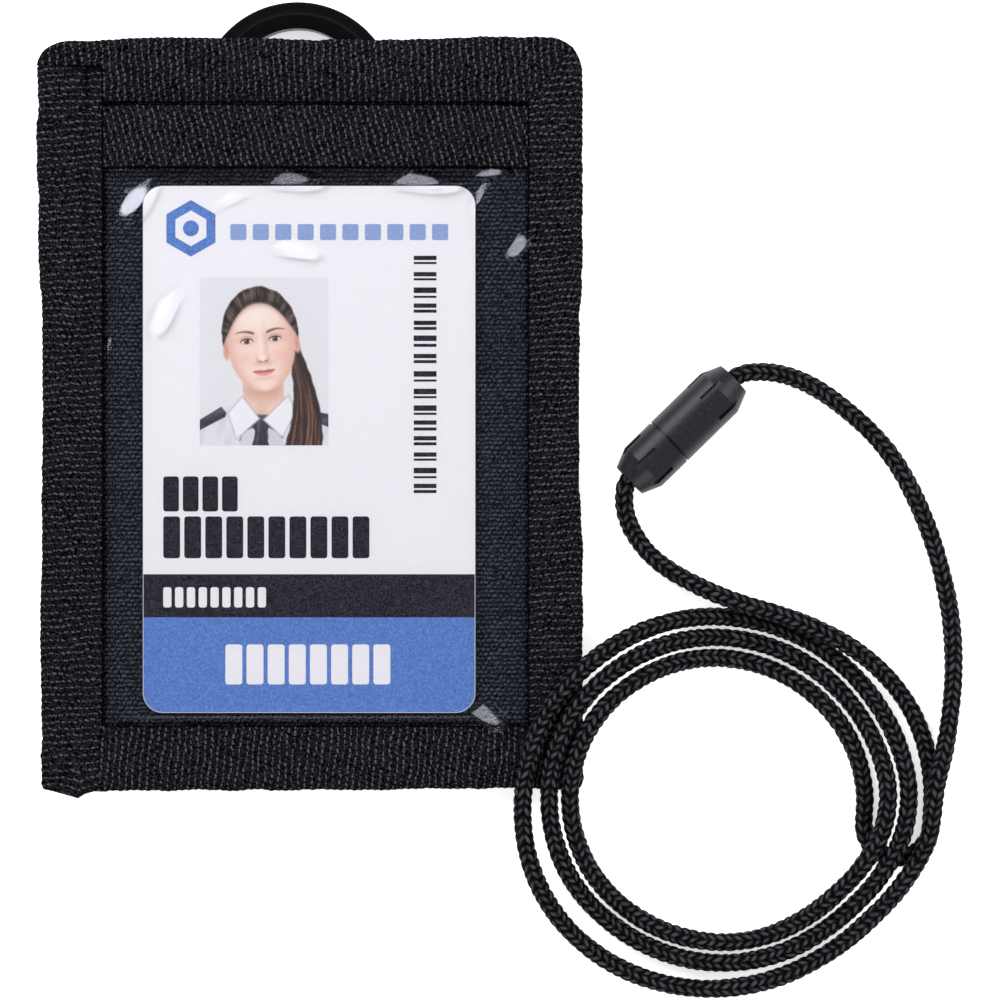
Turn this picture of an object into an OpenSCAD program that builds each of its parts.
// Identity badge wallet of bound nylon cloth with a clear card pocket, a plastic ring
// at its back and a loose neck lanyard with a breakaway clasp.
// The wallet lies on its back at z = 0, its front looks up, and +Y points to its top edge.
// The origin is on the table, under the middle of wallet and ring.

/* [Card] */
// Width of the identity card
card_w = 54; // [50:0.5:60]
// Height of the identity card
card_h = 85.6; // [78:0.2:92]
// Thickness of the identity card
card_t = 0.76; // [0.5:0.02:1.2]
// Corner radius of the identity card
card_r = 3.2; // [1:0.1:6]

/* [Card pocket] */
// Clear film left of the card, up to the binding
gap_left = 6.5; // [4:0.1:12]
// Clear film right of the card, up to the binding
gap_right = 8.5; // [4:0.1:12]
// Clear film below the card, up to the binding
gap_bottom = 2.1; // [1.6:0.1:6]
// Clear film above the card, up to the header tape
gap_top = 2.3; // [1:0.1:6]
// Thickness of the clear film
film_t = 0.3; // [0.2:0.05:0.5]
// Height of the header tape along the pocket's mouth
header_w = 10.9; // [8:0.1:16]
// Slit between the header tape and the top binding
mouth_gap = 0.4; // [0.3:0.1:2]
// Film edge caught under the binding
film_seam_w = 6; // [3:0.1:8]

/* [Binding] */
// Thickness of the woven binding tape
tape_t = 0.6; // [0.4:0.05:1]
// Width of the left binding on the front
left_tape_w = 10.2; // [9:0.1:14]
// Width of the right binding on the front
right_tape_w = 9; // [9:0.1:14]
// Width of the bottom binding on the front
bottom_tape_w = 10.6; // [9:0.1:14]
// Width of the top binding, front and back
top_tape_w = 10.8; // [9:0.1:12]
// Distance from the top edge to the left binding's end
left_tape_drop = 4.7; // [3:0.1:6]
// Corner radius of the wallet
corner_r = 2.2; // [1:0.1:3]

/* [Cloth] */
// Thickness of one ply of panel cloth
cloth_t = 0.5; // [0.3:0.05:0.8]

/* [Rear pocket] */
// Distance from the wallet's top edge to the rear pocket's mouth
rear_mouth_drop = 30.5; // [28:0.5:50]
// Height of the hem tape along the rear pocket's mouth
rear_hem_w = 9; // [6:0.5:14]
// Sloping side of the rear pocket, seen from behind
rear_slope = 5; // [3:0.5:10]

/* [Ring] */
// Outer radius of the ring's crown
ring_r = 16.2; // [13:0.1:17]
// Radius of the ring's eye
eye_r = 11; // [9:0.05:13]
// Width of the ring at the top of its crown
crown_w = 4.3; // [3.8:0.1:6]
// Thickness of the ring
ring_t = 2.4; // [2.2:0.1:3.2]
// Radius of the ring's straight bar
bar_r = 1; // [0.7:0.05:1.1]
// How far the ring stands out above the wallet
ring_rise = 6; // [5:0.1:9]
// Sideways place of the ring
ring_x = -2.5; // [-6:0.5:6]

/* [Ring tab] */
// Thickness of the tab's webbing
tab_t = 0.6; // [0.4:0.05:0.7]
// Width of the tab's webbing
tab_w = 20; // [12:0.5:21]
// Length of the tab that is sewn to the back
tab_sewn = 9; // [5:0.5:9]

/* [Clasp] */
// Radius of the clasp's barrel
clasp_r = 4.35; // [4.2:0.05:6]
// Radius of the clasp's small end faces
clasp_end_r = 3; // [2.8:0.05:3.6]
// Length of the whole clasp
clasp_len = 23.7; // [23.2:0.1:30]
// Length of the short half's barrel
plug_len = 8.9; // [8:0.1:10]
// Length of each tapered end
clasp_taper = 3.2; // [2:0.1:4]
// Length of the prong that snaps into the long half
prong_len = 5; // [3:0.1:5.5]
// Outer radius of the prong
prong_r = 2.8; // [2.6:0.05:3.2]
// Dark gap between the two halves
seam_gap = 0.3; // [0.1:0.05:0.6]

/* [Lanyard] */
// Diameter of the braided cord
cord_d = 2.8; // [2.2:0.1:3]
// Centreline radius of the coil's innermost turn
coil_in_r = 22.7; // [22.7:0.1:26]
// Free space between neighbouring turns
turn_gap = 0.6; // [0.6:0.05:0.9]

/* [Hidden] */
$fn = 64;

// One overrun serves all cuts that pass through a face
cut = 1;
// Clearances: running fit, sliding card, soft pieces, cord over the wallet
run_gap = 0.05;
slide_gap = 0.1;
film_gap = 0.14;
lay_gap = 0.3;
ring_gap = 0.2;
tab_floor_gap = 0.05;
leg_gap = 0.3;

// Plan of the wallet
window_w = gap_left + card_w + gap_right;
wallet_w = left_tape_w + window_w + right_tape_w;
wallet_h = bottom_tape_w + gap_bottom + card_h + gap_top + header_w + mouth_gap + top_tape_w;
wallet_y0 = -(wallet_h + ring_rise) / 2;
wallet_y1 = wallet_y0 + wallet_h;
wallet_x0 = -wallet_w / 2;
wallet_x1 = wallet_w / 2;
window_x0 = wallet_x0 + left_tape_w;
window_x1 = wallet_x1 - right_tape_w;
window_y0 = wallet_y0 + bottom_tape_w;
top_tape_y = wallet_y1 - top_tape_w;
header_y1 = top_tape_y - mouth_gap;
header_y0 = header_y1 - header_w;
card_x0 = window_x0 + gap_left;
card_y0 = window_y0 + gap_bottom;

// Levels above the table
bar_z = tab_floor_gap + tab_t + run_gap + bar_r;
back_z = max(bar_z + ring_t / 2, bar_z + bar_r + run_gap) + ring_gap;
panel_z = back_z + tape_t;
front_panel_z = panel_z + cloth_t;
face_z = front_panel_z + cloth_t;
film_z = face_z + film_t;
side_top_z = film_z + tape_t;
card_z = face_z + tape_t + slide_gap;
dome_z = card_z + card_t + film_gap;
header_z = dome_z + film_t;

// The film stays flat over the card and this far beside it, then falls to the binding
dome_margin = 0.6;
dome_x0 = card_x0 - dome_margin;
dome_x1 = card_x0 + card_w + dome_margin;
dome_y0 = card_y0 - dome_margin;
film_under_header = 5;
film_y1 = header_y0 + film_under_header;

// Rear pocket
rear_mouth_y = wallet_y1 - rear_mouth_drop;
rear_hem_y = rear_mouth_y - rear_hem_w;

// Ring: the bar lies just below the top binding's back flap
ring_y = wallet_y1 + ring_rise - ring_r;
ring_side_w = ring_r - eye_r;
eye_y = wallet_y1 + ring_rise - crown_w - eye_r;
bar_y = top_tape_y - ring_t / 2 - leg_gap;
tab_loop_in = bar_r + run_gap;
tab_loop_out = tab_loop_in + tab_t;
tab_ramp = 6;

// Clasp: bores, cavities and the cords' knots, measured along the clasp from its lower end
cord_r = cord_d / 2;
mouth_r = cord_r + 0.8 * cord_r;
cord_bore_r = cord_r + run_gap * 4;
mouth_depth = 1.5;
end_wall = 3.2;
knot_r = 1.95;
knot_len = 3.6;
knot_bore_r = knot_r + 3 * run_gap;
socket_z0 = plug_len + seam_gap;
prong_bore_r = prong_r + run_gap;
prong_bore_z1 = plug_len + prong_len + seam_gap;
slot_len = 4.3;
slot_w = 0.9;
slot_depth = 0.45;
slot_inset = 1.1;
slots = 6;
plug_slot_turn = 50;
socket_slot_turn = 43;
// The prong's foot, which fills the gap between the two halves nearly to the barrel
foot_r = clasp_r - 5 * run_gap;

// Where the lower end of the clasp lies, and the way the clasp points
clasp_x = 51.7;
clasp_y = -13.9;
clasp_turn = 44.3;

// The coil: its middle, the turn that it starts at (degrees clockwise from +Y),
// its whole turns, and where its innermost turn folds back under the others
coil_x = 67.8;
coil_y = -66.8;
coil_start = 85;
coil_turns = 3;
coil_end_over = 12;
steps_per_turn = 24;
step_deg = 360 / steps_per_turn;
coil_sides = 6;
lead_sides = 8;
pitch = cord_d + turn_gap;
// The outermost turn arrives from outside the others and settles this many pitches inwards
arrive_pitches = 1.3;
settle_deg = 50;
lead_r = coil_in_r + (2 + arrive_pitches) * pitch;
fold_r = (lead_r - coil_in_r) / 2 - cord_r / 14;
fold_steps = 8;
// Sideways bulge of all turns towards the wallet, and of the loosest, outermost turn
bulge_r = 3.4;
bulge_deg = 290;
slack_r = 2.1;
slack_deg = 228;
// Climbs: over the cord's own fold, and onto the wallet
over_fold_deg = [52, 84, 122, 154];
over_wallet_deg = [212, 266, 318, 360];
fold_climb = pitch + turn_gap / 2;
wallet_climb = side_top_z + lay_gap;

// Hand-chosen points of the two free stretches: x, y and height above lying flat
upper_route = [
    [68.9, 2.9, 2.9], [71.2, 3.7, 2.7], [75.4, 3.7, 1.7], [79.6, 2.6, 0.6],
    [83.7, 0.5, 0], [87.9, -2.7, 0], [92.1, -6.6, 0], [95.9, -11.5, 0],
    [99.1, -17.5, 0], [101.6, -23.9, 0], [103.5, -30.7, 0], [104.7, -37.6, 0],
    [105.0, -44.6, 0.1], [104.4, -51.4, 1.0], [103.2, -57.9, 2.5],
];
lower_route = [
    [101.5, -63.9, 0], [100.6, -58.1, 0], [98.5, -52.4, 0.1], [95.2, -47.5, 1.0],
    [91.0, -43.4, 2.4], [86.3, -40.1, 3.3], [81.3, -37.6, 3.3], [76.1, -35.7, 3.3],
    [71.2, -34.3, 3.3], [66.6, -32.7, 2.7], [62.4, -30.8, 1.2], [58.5, -28.6, 0.1],
    [55.0, -25.8, 0], [52.4, -22.3, 0.6], [51.1, -19.0, 1.8], [50.9, -16.1, 2.7],
    [51.4, -14.2, 2.9],
];

function smooth(t) = let (c = min(1, max(0, t))) c * c * (3 - 2 * c);
function climb(a, at) =
    smooth((a - at[0]) / (at[1] - at[0])) * (1 - smooth((a - at[2]) / (at[3] - at[2])));
function hill(a, middle, sharpness) = pow(0.5 + 0.5 * cos(a - middle), sharpness);
function turn_of(a) = a - 360 * floor(a / 360);

// Pitches still to go inwards after running the coil as far as the angle a
function pitches_left(a) =
    a < coil_start + 360
    ? 2 + arrive_pitches * (1 - smooth((a - coil_start) / settle_deg))
    : let (n = floor((a - coil_start) / 360))
      n < coil_turns
      ? 3 - n - smooth((a - coil_start - 360 * n) / settle_deg)
      : 0;
function coil_radius(a) =
    coil_in_r + pitch * pitches_left(a) + bulge_r * hill(a, bulge_deg, 3)
    + (a < coil_start + 360 ? slack_r * hill(a, slack_deg, 6) : 0);
function coil_height(a) =
    let (t = turn_of(a), last = coil_start + 360 * coil_turns - 360 / 4)
    (a < last ? fold_climb * climb(t, over_fold_deg) : 0)
    + wallet_climb * climb(t, over_wallet_deg);
function coil_point(a) = [
    coil_x + coil_radius(a) * sin(a),
    coil_y + coil_radius(a) * cos(a),
    cord_r + coil_height(a),
];

// The fold: a half circle outwards from the innermost turn, flat on the table
fold_deg = coil_start + 360 * coil_turns + coil_end_over;
function fold_point(f) =
    let (
        out = [sin(fold_deg), cos(fold_deg)],
        along = [cos(fold_deg), -sin(fold_deg)],
        start = [coil_x, coil_y] + coil_radius(fold_deg) * out,
        p = start + fold_r * (1 - cos(f)) * out + fold_r * sin(f) * along
    )
    [p[0], p[1], cord_r];

function on_clasp(along) = [
    clasp_x + along * cos(clasp_turn), clasp_y + along * sin(clasp_turn), clasp_r,
];
function lifted(route) = [for (p = route) [p[0], p[1], p[2] + cord_r]];

upper_line = concat([on_clasp(clasp_len - mouth_depth)], lifted(upper_route));
coil_line = concat(
    [for (i = [0 : coil_turns * steps_per_turn]) coil_point(coil_start + i * step_deg)],
    [for (i = [0 : fold_steps]) fold_point(180 * i / fold_steps)]
);
// The lower end stops a hair short of its knot, which moves with the clasp's lower half
lower_line = concat(lifted(lower_route), [on_clasp(mouth_depth - run_gap)]);
cord_line = concat(upper_line, coil_line, lower_line);

function length_of(line) =
    [for (i = 0, s = 0; i < len(line); s = s + (i + 1 < len(line) ? norm(line[i + 1] - line[i]) : 0), i = i + 1) s]
    [len(line) - 1];
// Free space between the cord and itself, between points that lie apart along it
function least_gap(line, apart) =
    min([for (i = [0 : len(line) - 1]) for (j = [i + apart : 1 : len(line) - 1]) norm(line[i] - line[j])])
    - cord_d;
echo(cord_length = length_of(cord_line), least_gap = least_gap(cord_line, 4));

function unit(v) = v / norm(v);
function heading(line, i) =
    unit(line[min(i + 1, len(line) - 1)] - line[max(i - 1, 0)]);
// One ring of points round a line's point, square to the way that the line runs there
function ring_at(point, way, sides) =
    let (side = unit(cross(way, [0, 0, 1])), up = cross(side, way))
    [for (k = [0 : sides - 1]) let (a = -90 + 360 * k / sides) point + cord_r * (cos(a) * side + sin(a) * up)];

module tube(line, first, last, sides) {
    rings = last - first + 1;
    points = [for (i = [first : last]) each ring_at(line[i], heading(line, i), sides)];
    walls = [
        for (i = [0 : rings - 2]) for (k = [0 : sides - 1])
            let (a = i * sides + k, b = i * sides + (k + 1) % sides)
            each [[a, b, b + sides], [a, b + sides, a + sides]]
    ];
    start_cap = [for (k = [1 : sides - 2]) [0, k + 1, k]];
    end_cap = [for (k = [1 : sides - 2]) let (e = (rings - 1) * sides) [e, e + k, e + k + 1]];
    polyhedron(points = points, faces = concat(walls, start_cap, end_cap));
}

module rounded_plate(x0, y0, x1, y1, r, z, t) {
    translate([0, 0, z]) linear_extrude(height = t) {
        translate([x0 + r, y0]) square([x1 - x0 - 2 * r, y1 - y0]);
        translate([x0, y0 + r]) square([x1 - x0, y1 - y0 - 2 * r]);
        for (x = [x0 + r, x1 - r]) for (y = [y0 + r, y1 - r]) translate([x, y]) circle(r = r);
    }
}

module block(x0, y0, z0, x1, y1, z1) {
    translate([x0, y0, z0]) cube([x1 - x0, y1 - y0, z1 - z0]);
}

// Everything inside the wallet's rounded outline
module wallet_outline() {
    rounded_plate(wallet_x0, wallet_y0, wallet_x1, wallet_y1, corner_r, 0, header_z + tape_t);
}

module panel(z) {
    rounded_plate(
        wallet_x0 + tape_t, wallet_y0 + tape_t, wallet_x1 - tape_t, wallet_y1 - tape_t,
        corner_r - tape_t, z, cloth_t
    );
}

module front_panel() {
    color("#1c222c") panel(front_panel_z);
}

module back_panel() {
    color("#17171a") panel(panel_z);
}

// Tape folded round an edge: a C whose slot holds the plies; it runs along +Y
// with its fold at x = 0 and its open side towards +X
module folded_tape(width, length, top_z) {
    difference() {
        block(0, 0, back_z, width, length, top_z);
        block(tape_t, -cut, panel_z, width + cut, length + cut, top_z - tape_t);
    }
}

// All that lies beyond the diagonal at which the right tape meets a top or bottom tape
module right_mitre(inner_y, outer_y) {
    reach = outer_y > inner_y ? cut : -cut;
    slope = (outer_y - inner_y) / right_tape_w;
    translate([0, 0, -cut]) linear_extrude(height = header_z + 2 * tape_t + 2 * cut)
        polygon([
            [window_x1 - cut, inner_y - slope * cut],
            [wallet_x1 + cut, outer_y + slope * cut],
            [wallet_x1 + cut, outer_y + slope * cut + reach],
            [window_x1 - cut, outer_y + slope * cut + reach],
        ]);
}

module top_binding() {
    color("#161618") intersection() {
        wallet_outline();
        difference() {
            translate([wallet_x0, wallet_y1, 0]) rotate([0, 0, -90])
                folded_tape(top_tape_w, wallet_w, face_z + tape_t);
            block(
                wallet_x0 - cut, top_tape_y - cut, -cut,
                window_x0, wallet_y1 - left_tape_drop, header_z
            );
            difference() {
                block(window_x1, top_tape_y - cut, -cut, wallet_x1 + cut, wallet_y1 + cut, header_z);
                right_mitre(top_tape_y, wallet_y1);
            }
        }
    }
}

module left_binding() {
    color("#161618") intersection() {
        wallet_outline();
        translate([wallet_x0, wallet_y0, 0])
            folded_tape(left_tape_w, wallet_h - left_tape_drop, side_top_z);
    }
}

module right_binding() {
    color("#161618") intersection() {
        wallet_outline();
        difference() {
            translate([wallet_x1, wallet_y1, 0]) rotate([0, 0, 180])
                folded_tape(right_tape_w, wallet_h, side_top_z);
            right_mitre(top_tape_y, wallet_y1);
            right_mitre(window_y0, wallet_y0);
        }
    }
}

module bottom_binding() {
    color("#161618") intersection() {
        wallet_outline();
        difference() {
            translate([wallet_x1, wallet_y0, 0]) rotate([0, 0, 90])
                folded_tape(bottom_tape_w, wallet_w - left_tape_w, side_top_z);
            difference() {
                block(window_x1, wallet_y0 - cut, -cut, wallet_x1 + cut, window_y0 + cut, header_z);
                right_mitre(window_y0, wallet_y0);
            }
        }
    }
}

// A low mound with sloping sides on three edges and a straight end at y1
module mound(x0, y0, x1, y1, z, in_x0, in_y0, in_x1, z_top, t) {
    hull() {
        block(x0, y0, z, x1, y1, z + t);
        block(in_x0, in_y0, z_top, in_x1, y1, z_top + t);
    }
}

module clear_window() {
    color("#c8d2dc", 0.4) {
        difference() {
            mound(
                window_x0, window_y0, window_x1, film_y1, face_z,
                dome_x0, dome_y0, dome_x1, dome_z, film_t
            );
            mound(
                window_x0, window_y0, window_x1, film_y1 + cut, face_z - film_t,
                dome_x0, dome_y0, dome_x1, dome_z - film_t, film_t
            );
        }
        difference() {
            block(
                window_x0 - film_seam_w, window_y0 - film_seam_w, face_z,
                window_x1 + film_seam_w, film_y1, film_z
            );
            block(window_x0, window_y0, face_z - cut, window_x1, film_y1 + cut, film_z + cut);
        }
    }
}

module window_header() {
    profile = [
        [window_x0, film_z], [dome_x0, header_z], [dome_x1, header_z], [window_x1, film_z],
        [window_x1, side_top_z], [dome_x1, header_z + tape_t],
        [dome_x0, header_z + tape_t], [window_x0, side_top_z],
    ];
    color("#161618") translate([0, header_y1, 0]) rotate([90, 0, 0])
        linear_extrude(height = header_w) polygon(profile);
}

module id_card() {
    color("#eef0f6")
        rounded_plate(card_x0, card_y0, card_x0 + card_w, card_y0 + card_h, card_r, card_z, card_t);
}

module rear_pocket_panel() {
    color("#17171a") difference() {
        mound(
            window_x0, window_y0, window_x1, rear_hem_y, panel_z - cloth_t,
            window_x0 + rear_slope, window_y0 + rear_slope, window_x1 - rear_slope, 0, cloth_t
        );
        mound(
            window_x0, window_y0, window_x1, rear_hem_y + cut, panel_z,
            window_x0 + rear_slope, window_y0 + rear_slope, window_x1 - rear_slope, cloth_t, cloth_t
        );
    }
}

module rear_pocket_hem() {
    profile = [
        [window_x0, panel_z], [window_x0, panel_z - tape_t],
        [window_x0 + rear_slope, 0], [window_x1 - rear_slope, 0],
        [window_x1, panel_z - tape_t], [window_x1, panel_z],
        [window_x1 - rear_slope, tape_t], [window_x0 + rear_slope, tape_t],
    ];
    color("#161618") translate([0, rear_mouth_y, 0]) rotate([90, 0, 0])
        linear_extrude(height = rear_hem_w) polygon(profile);
}

// Webbing folded round the ring's bar; both ends are sewn to the wallet's back
module ring_tab() {
    sewn_y0 = bar_y - tab_ramp - tab_sewn;
    sewn_y1 = bar_y - tab_ramp;
    under_z = panel_z - 2 * tab_t;
    color("#161618") translate([ring_x - tab_w / 2, 0, 0]) rotate([90, 0, 90])
        linear_extrude(height = tab_w) difference() {
            union() {
                translate([sewn_y0, panel_z - tab_t]) square([bar_y - sewn_y0, tab_t]);
                translate([sewn_y0, under_z]) square([tab_sewn, tab_t]);
                translate([bar_y, bar_z]) circle(r = tab_loop_out);
                polygon([
                    [sewn_y1, under_z], [sewn_y1, under_z + tab_t],
                    [bar_y, bar_z - tab_loop_in], [bar_y, bar_z - tab_loop_out],
                ]);
                translate([bar_y - tab_t, bar_z + tab_loop_in])
                    square([tab_t, panel_z - bar_z - tab_loop_in]);
            }
            translate([bar_y, bar_z]) circle(r = tab_loop_in);
        }
}

module d_ring() {
    color("#1b1b1e") difference() {
        union() {
            translate([ring_x, 0, bar_z - ring_t / 2]) linear_extrude(height = ring_t) difference() {
                union() {
                    translate([0, ring_y]) circle(r = ring_r);
                    translate([-ring_r, bar_y]) square([2 * ring_r, ring_y - bar_y]);
                }
                translate([0, eye_y]) circle(r = eye_r);
                translate([-eye_r, bar_y - ring_r]) square([2 * eye_r, eye_y - bar_y + ring_r]);
                translate([-ring_r - cut, bar_y - 2 * ring_r])
                    square([2 * ring_r + 2 * cut, 2 * ring_r]);
            }
            for (side = [-1, 1])
                translate([ring_x + side * (eye_r + ring_side_w / 2), bar_y, bar_z])
                    rotate([0, 90, 0])
                        cylinder(h = ring_side_w, r = ring_t / 2, center = true);
            translate([ring_x, bar_y, bar_z]) rotate([0, 90, 0])
                cylinder(h = 2 * eye_r + ring_side_w, r = bar_r, center = true);
        }
    }
}

// Puts what is drawn along +Z on the clasp's own axis
module along_clasp() {
    translate([clasp_x, clasp_y, clasp_r]) rotate([0, 0, clasp_turn]) rotate([0, 90, 0]) children();
}

// Short grooves round one half's barrel, which start this far along the clasp
module barrel_slots(z0, turn) {
    for (k = [0 : slots - 1])
        rotate([0, 0, turn + 360 * k / slots])
            translate([clasp_r - slot_depth, -slot_w / 2, z0]) cube([slot_depth + cut, slot_w, slot_len]);
}

module clasp_plug() {
    profile = [
        [mouth_r, 0], [clasp_end_r, 0], [clasp_r, clasp_taper], [clasp_r, plug_len],
        [foot_r, plug_len], [foot_r, plug_len + seam_gap - run_gap],
        [prong_r, plug_len + seam_gap - run_gap], [prong_r, plug_len + prong_len],
        [knot_bore_r, plug_len + prong_len], [knot_bore_r, end_wall],
        [cord_bore_r, end_wall], [cord_bore_r, mouth_depth],
    ];
    color("#34343b") along_clasp() difference() {
        rotate_extrude() polygon(profile);
        barrel_slots(clasp_taper - slot_inset, plug_slot_turn);
    }
}

module clasp_socket() {
    profile = [
        [prong_bore_r, socket_z0], [clasp_r, socket_z0], [clasp_r, clasp_len - clasp_taper],
        [clasp_end_r, clasp_len], [mouth_r, clasp_len], [cord_bore_r, clasp_len - mouth_depth],
        [cord_bore_r, clasp_len - end_wall], [knot_bore_r, clasp_len - end_wall],
        [knot_bore_r, prong_bore_z1], [prong_bore_r, prong_bore_z1],
    ];
    color("#34343b") along_clasp() difference() {
        rotate_extrude() polygon(profile);
        barrel_slots(clasp_len - clasp_taper + slot_inset - slot_len, socket_slot_turn);
    }
}

// The cord's last few millimetres inside the clasp, with the stopper knot on them
module cord_knot() {
    rounding = knot_r / 3;
    rotate_extrude() polygon([
        [0, mouth_depth], [cord_r, mouth_depth], [cord_r, end_wall + run_gap],
        [knot_r - rounding, end_wall + run_gap], [knot_r, end_wall + rounding],
        [knot_r, end_wall + knot_len - rounding], [knot_r - rounding, end_wall + knot_len],
        [0, end_wall + knot_len],
    ]);
}

module cord_knot_lower() {
    color("#1d1d20") along_clasp() cord_knot();
}

module cord_knot_upper() {
    color("#1d1d20") along_clasp() translate([0, 0, clasp_len]) mirror([0, 0, 1]) cord_knot();
}

module lanyard_lead_upper() {
    color("#1a1a1c") tube(cord_line, 0, len(upper_line), lead_sides);
}

module lanyard_coil() {
    color("#1a1a1c")
        tube(cord_line, len(upper_line), len(upper_line) + len(coil_line) - 1, coil_sides);
}

module lanyard_lead_lower() {
    color("#1a1a1c")
        tube(cord_line, len(upper_line) + len(coil_line) - 1, len(cord_line) - 1, lead_sides);
}

front_panel();
back_panel();
top_binding();
left_binding();
right_binding();
bottom_binding();
clear_window();
window_header();
id_card();
rear_pocket_panel();
rear_pocket_hem();
ring_tab();
d_ring();
clasp_socket();
clasp_plug();
cord_knot_upper();
cord_knot_lower();
lanyard_lead_upper();
lanyard_coil();
lanyard_lead_lower();
